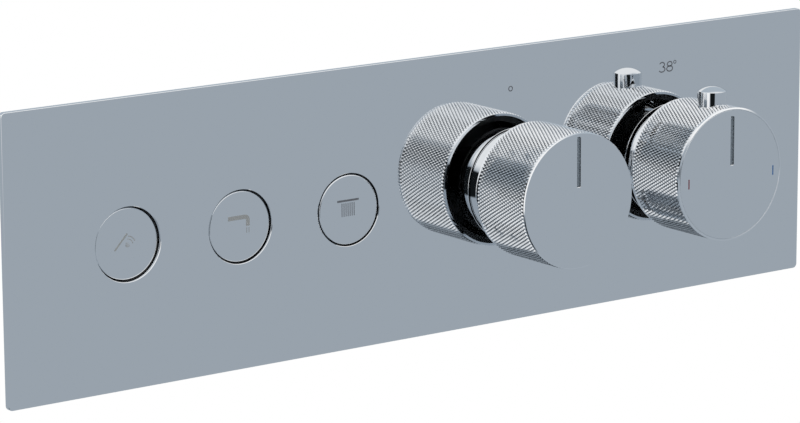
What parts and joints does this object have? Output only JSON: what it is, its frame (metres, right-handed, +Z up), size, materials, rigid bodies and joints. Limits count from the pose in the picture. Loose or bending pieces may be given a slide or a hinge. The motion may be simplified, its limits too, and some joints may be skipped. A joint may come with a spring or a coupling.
{
  "type": "concealed thermostatic bath and shower mixer",
  "caption": "Concealed thermostatic bath mixer: long mirror-chrome wall plate with round push buttons and two knurled knobs, on a brass valve body with inlets, outlets and a wall bracket.",
  "frame": {"origin": "centre of the face plate projected on the finished wall, where the gasket's back lies", "axes": "+X along the plate to the right as seen from the room, +Y into the wall, +Z up"},
  "size_m": [0.35, 0.1182, 0.101],
  "materials": {
    "polished_chrome": "mirror polished chrome plate",
    "foam_gasket": "soft black foam",
    "stainless_steel": "plain stainless steel",
    "black_nylon": "moulded nylon",
    "galvanised_steel": "zinc-plated sheet steel",
    "black_plastic": "moulded black plastic",
    "black_rubber": "moulded black rubber",
    "cast_brass": "sand-cast brass, shot blasted",
    "turned_brass": "turned brass",
    "ceramic": "ground alumina ceramic",
    "copper_alloy": "drawn copper cup",
    "grey_plastic": "moulded grey plastic",
    "spring_steel": "drawn spring wire"
  },
  "bodies": {
    "mixer_body": {"face_plate": "polished_chrome", "plate_gasket": "foam_gasket", "plate_studs": "stainless_steel", "snap_sockets": "black_nylon", "mounting_frame": "galvanised_steel", "frame_screws": "stainless_steel", "button_guides": "black_plastic", "sleeve_seals": "black_rubber", "flow_sleeve": "polished_chrome", "temperature_sleeve": "polished_chrome", "valve_body": "cast_brass", "wall_bracket": "galvanised_steel", "bracket_screws": "stainless_steel", "valve_housings": "turned_brass", "valve_o_rings": "black_rubber", "plunger_seals": "black_rubber", "flow_housing": "turned_brass", "flow_nut": "turned_brass", "flow_o_rings": "black_rubber", "flow_fixed_disc": "ceramic", "flow_seat_seal": "black_rubber", "thermostat_housing": "turned_brass", "thermostat_nut": "turned_brass", "thermostat_o_rings": "black_rubber", "cold_seat_ring": "black_rubber", "thermostat_return_spring": "spring_steel", "temperature_stop_ring": "grey_plastic", "inlet_strainers": "stainless_steel", "check_valve_housings": "grey_plastic", "hot_check_spring": "spring_steel", "cold_check_spring": "spring_steel", "hand_shower_spring": "spring_steel", "bath_spout_spring": "spring_steel", "overhead_shower_spring": "spring_steel"},
    "flow_knob": {"flow_knob_shell": "polished_chrome", "flow_knob_insert": "black_plastic", "flow_grub_screw": "stainless_steel", "flow_spindle": "turned_brass", "flow_moving_disc": "ceramic"},
    "temperature_knob": {"temperature_knob_shell": "polished_chrome", "temperature_knob_cap": "polished_chrome", "temperature_knob_insert": "black_plastic", "temperature_knob_screw": "stainless_steel", "temperature_spindle": "turned_brass", "safety_spring": "spring_steel"},
    "safety_button": {"safety_button": "polished_chrome"},
    "mixing_shuttle": {"adjuster_nut": "turned_brass", "wax_element": "copper_alloy", "mixing_shuttle": "grey_plastic"},
    "hot_check_poppet": {"hot_check_poppet": "grey_plastic"},
    "cold_check_poppet": {"cold_check_poppet": "grey_plastic"},
    "hand_shower_button": {"hand_shower_button": "polished_chrome", "hand_shower_plunger": "turned_brass", "hand_shower_valve_disc": "black_rubber"},
    "bath_spout_button": {"bath_spout_button": "polished_chrome", "bath_spout_plunger": "turned_brass", "bath_spout_valve_disc": "black_rubber"},
    "overhead_shower_button": {"overhead_shower_button": "polished_chrome", "overhead_shower_plunger": "turned_brass", "overhead_shower_valve_disc": "black_rubber"}
  },
  "joints": [
    {"name": "flow_turn", "type": "hinge", "parent": "mixer_body", "child": "flow_knob", "pos_m": [0.037, 0, 0], "axis": [0, -1, 0], "range_deg": [0, 90]},
    {"name": "temperature_turn", "type": "hinge", "parent": "mixer_body", "child": "temperature_knob", "pos_m": [0.11, 0, 0], "axis": [0, -1, 0], "range_deg": [-90, 90]},
    {"name": "safety_press", "type": "slide", "parent": "temperature_knob", "child": "safety_button", "axis": [0, 0, -1], "range_m": [0, 0.0025], "stiffness_N_per_m": 800, "springref_m": -0.002, "deforming": ["safety_spring"]},
    {"name": "shuttle_move", "type": "slide", "parent": "mixer_body", "child": "mixing_shuttle", "axis": [0, 1, 0], "range_m": [-0.0005, 0.0005], "deforming": ["thermostat_return_spring"]},
    {"name": "hand_shower_press", "type": "slide", "parent": "mixer_body", "child": "hand_shower_button", "axis": [0, 1, 0], "range_m": [0, 0.003], "stiffness_N_per_m": 1500, "springref_m": -0.004, "deforming": ["hand_shower_spring"]},
    {"name": "bath_spout_press", "type": "slide", "parent": "mixer_body", "child": "bath_spout_button", "axis": [0, 1, 0], "range_m": [0, 0.003], "stiffness_N_per_m": 1500, "springref_m": -0.004, "deforming": ["bath_spout_spring"]},
    {"name": "overhead_shower_press", "type": "slide", "parent": "mixer_body", "child": "overhead_shower_button", "axis": [0, 1, 0], "range_m": [0, 0.003], "stiffness_N_per_m": 1500, "springref_m": -0.004, "deforming": ["overhead_shower_spring"]},
    {"name": "hot_check_open", "type": "slide", "parent": "mixer_body", "child": "hot_check_poppet", "axis": [0, 0, 1], "range_m": [0, 0.0025], "stiffness_N_per_m": 100, "springref_m": -0.002, "deforming": ["hot_check_spring"]},
    {"name": "cold_check_open", "type": "slide", "parent": "mixer_body", "child": "cold_check_poppet", "axis": [0, 0, 1], "range_m": [0, 0.0025], "stiffness_N_per_m": 100, "springref_m": -0.002, "deforming": ["cold_check_spring"]}
  ],
  "couplings": [
    {"joint": "shuttle_move", "follows": "temperature_turn", "m_per_rad": 0.00031831}
  ]
}
